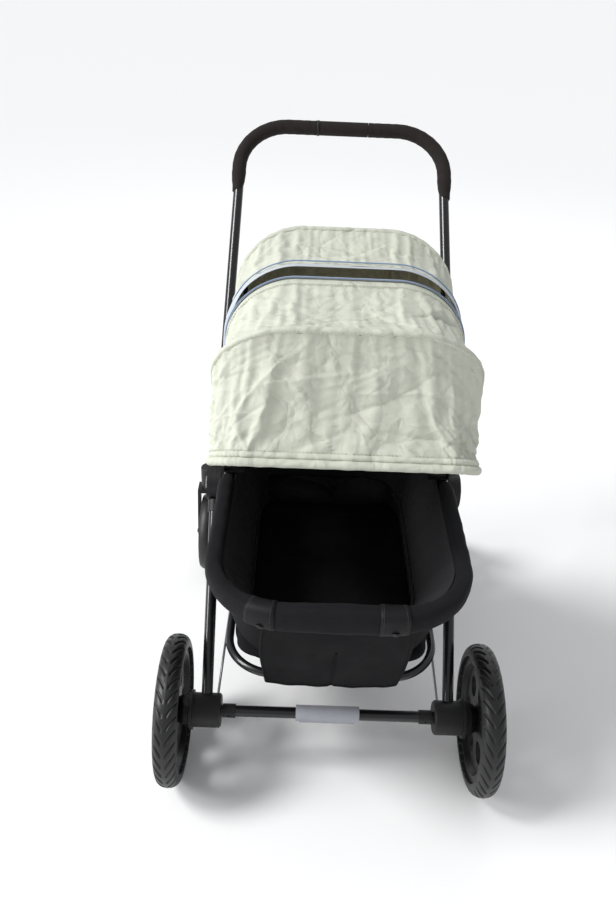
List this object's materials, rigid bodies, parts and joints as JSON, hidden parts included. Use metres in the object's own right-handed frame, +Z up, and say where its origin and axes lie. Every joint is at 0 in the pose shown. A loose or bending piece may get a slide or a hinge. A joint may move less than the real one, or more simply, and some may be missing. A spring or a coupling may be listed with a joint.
{
  "type": "pet stroller",
  "caption": "Folding pet stroller with a lift-off fabric bassinet, hooped canopy, reversible handle, two large fixed wheels and two swivel casters.",
  "frame": {"origin": "on the floor, under the middle of the overall length and width", "axes": "+Z up, +X across the width, +Y towards the handle and the swivel casters"},
  "size_m": [0.662, 1.114, 1.06],
  "materials": {
    "gloss_black_tube": "gloss black powder coat",
    "black_moulding": "satin moulded",
    "wheel_rim": "satin black",
    "tyre": "matt",
    "grey_sleeve": "matt light grey",
    "steel": "plated",
    "grip_foam": "matt foam",
    "hoop_rod": "matt",
    "canopy_fabric": "coated woven, pale sage cream",
    "black_fabric": "woven black",
    "bumper_cover": "fine grain",
    "board": "matt"
  },
  "bodies": {
    "chassis": {"rear_leg_left": "gloss_black_tube", "rear_leg_right": "gloss_black_tube", "rear_knuckle_left": "black_moulding", "rear_knuckle_right": "black_moulding", "axle_housing_left": "black_moulding", "axle_housing_right": "black_moulding", "rear_axle_stubs": "steel", "pivot_bolts": "steel", "basket_rim": "gloss_black_tube", "basket_bag": "black_fabric", "basket_stays": "steel", "basket_straps": "black_fabric"},
    "brake": {"brake_bar": "gloss_black_tube", "brake_sleeve": "grey_sleeve", "brake_collars": "black_moulding"},
    "front_frame": {"front_leg_left": "gloss_black_tube", "front_leg_right": "gloss_black_tube", "front_knuckle_left": "black_moulding", "front_knuckle_right": "black_moulding", "front_cross_tube": "gloss_black_tube", "caster_housing_left": "black_moulding", "caster_housing_right": "black_moulding"},
    "handle": {"handle_tube": "gloss_black_tube", "handle_middle_grip": "black_moulding", "handle_grip_left": "grip_foam", "handle_grip_right": "grip_foam", "handle_knuckle_left": "black_moulding", "handle_knuckle_right": "black_moulding"},
    "bassinet": {"rim_frame": "gloss_black_tube", "bumper": "bumper_cover", "tub_shell": "black_fabric", "floor_board": "board", "floor_pad": "black_fabric", "bolster": "black_fabric", "base_frame": "gloss_black_tube", "front_skirt": "black_fabric", "adapters": "black_moulding", "canopy_hinges": "black_moulding", "canopy_rear_hoop": "hoop_rod", "canopy_back": "canopy_fabric"},
    "canopy_front": {"canopy_front_hoop": "hoop_rod", "canopy_front_panel": "canopy_fabric"},
    "canopy_second": {"canopy_second_hoop": "hoop_rod", "canopy_middle_panel": "canopy_fabric"},
    "canopy_third": {"canopy_third_hoop": "hoop_rod", "canopy_vent_panel": "canopy_fabric"},
    "brake_pin_left_body": {"brake_pin_left": "steel"},
    "rear_wheel_left": {"rear_rim_left": "wheel_rim", "rear_tyre_left": "tyre", "hub_cap_left": "black_moulding"},
    "caster_left": {"caster_fork_left": "black_moulding"},
    "front_wheel_left": {"front_rim_left": "wheel_rim", "front_tyre_left": "tyre"},
    "brake_pin_right_body": {"brake_pin_right": "steel"},
    "rear_wheel_right": {"rear_rim_right": "wheel_rim", "rear_tyre_right": "tyre", "hub_cap_right": "black_moulding"},
    "caster_right": {"caster_fork_right": "black_moulding"},
    "front_wheel_right": {"front_rim_right": "wheel_rim", "front_tyre_right": "tyre"}
  },
  "joints": [
    {"name": "frame_fold", "type": "hinge", "parent": "chassis", "child": "front_frame", "pos_m": [0, -0.075, 0.459], "axis": [1, 0, 0], "range_deg": [-45, 0]},
    {"name": "handle_flip", "type": "hinge", "parent": "chassis", "child": "handle", "pos_m": [0, -0.075, 0.459], "axis": [1, 0, 0], "range_deg": [0, 93]},
    {"name": "bassinet_lift", "type": "slide", "parent": "chassis", "child": "bassinet", "axis": [0, 0, 1], "range_m": [0, 0.12]},
    {"name": "canopy_fold", "type": "hinge", "parent": "bassinet", "child": "canopy_third", "pos_m": [0, -0.146, 0.556], "axis": [1, 0, 0], "range_deg": [-18, 0], "deforming": ["canopy_vent_panel"]},
    {"name": "canopy_second_fold", "type": "hinge", "parent": "canopy_third", "child": "canopy_second", "pos_m": [0, -0.146, 0.556], "axis": [1, 0, 0], "range_deg": [-18, 0], "deforming": ["canopy_middle_panel"]},
    {"name": "canopy_front_fold", "type": "hinge", "parent": "canopy_second", "child": "canopy_front", "pos_m": [0, -0.146, 0.556], "axis": [1, 0, 0], "range_deg": [-18, 0], "deforming": ["canopy_front_panel"]},
    {"name": "brake_turn", "type": "hinge", "parent": "chassis", "child": "brake", "pos_m": [0, -0.405, 0.145], "axis": [1, 0, 0], "range_deg": [0, 25]},
    {"name": "brake_pin_left_slide", "type": "slide", "parent": "chassis", "child": "brake_pin_left_body", "axis": [-1, 0, 0], "range_m": [0, 0.008]},
    {"name": "rear_wheel_left_spin", "type": "hinge", "parent": "chassis", "child": "rear_wheel_left", "pos_m": [-0.3, -0.405, 0.145], "axis": [1, 0, 0], "continuous": true},
    {"name": "caster_left_swivel", "type": "hinge", "parent": "front_frame", "child": "caster_left", "pos_m": [-0.3, 0.245, 0.24], "axis": [0, 0, 1], "continuous": true},
    {"name": "front_wheel_left_spin", "type": "hinge", "parent": "caster_left", "child": "front_wheel_left", "pos_m": [-0.3, 0.215, 0.1], "axis": [1, 0, 0], "continuous": true},
    {"name": "brake_pin_right_slide", "type": "slide", "parent": "chassis", "child": "brake_pin_right_body", "axis": [1, 0, 0], "range_m": [0, 0.008]},
    {"name": "rear_wheel_right_spin", "type": "hinge", "parent": "chassis", "child": "rear_wheel_right", "pos_m": [0.3, -0.405, 0.145], "axis": [1, 0, 0], "continuous": true},
    {"name": "caster_right_swivel", "type": "hinge", "parent": "front_frame", "child": "caster_right", "pos_m": [0.3, 0.245, 0.24], "axis": [0, 0, 1], "continuous": true},
    {"name": "front_wheel_right_spin", "type": "hinge", "parent": "caster_right", "child": "front_wheel_right", "pos_m": [0.3, 0.215, 0.1], "axis": [1, 0, 0], "continuous": true}
  ],
  "couplings": [
    {"joint": "canopy_second_fold", "follows": "canopy_fold", "ratio": 1},
    {"joint": "canopy_front_fold", "follows": "canopy_fold", "ratio": 1},
    {"joint": "brake_pin_left_slide", "follows": "brake_turn", "m_per_rad": 0.018105},
    {"joint": "brake_pin_right_slide", "follows": "brake_turn", "m_per_rad": 0.018105}
  ]
}
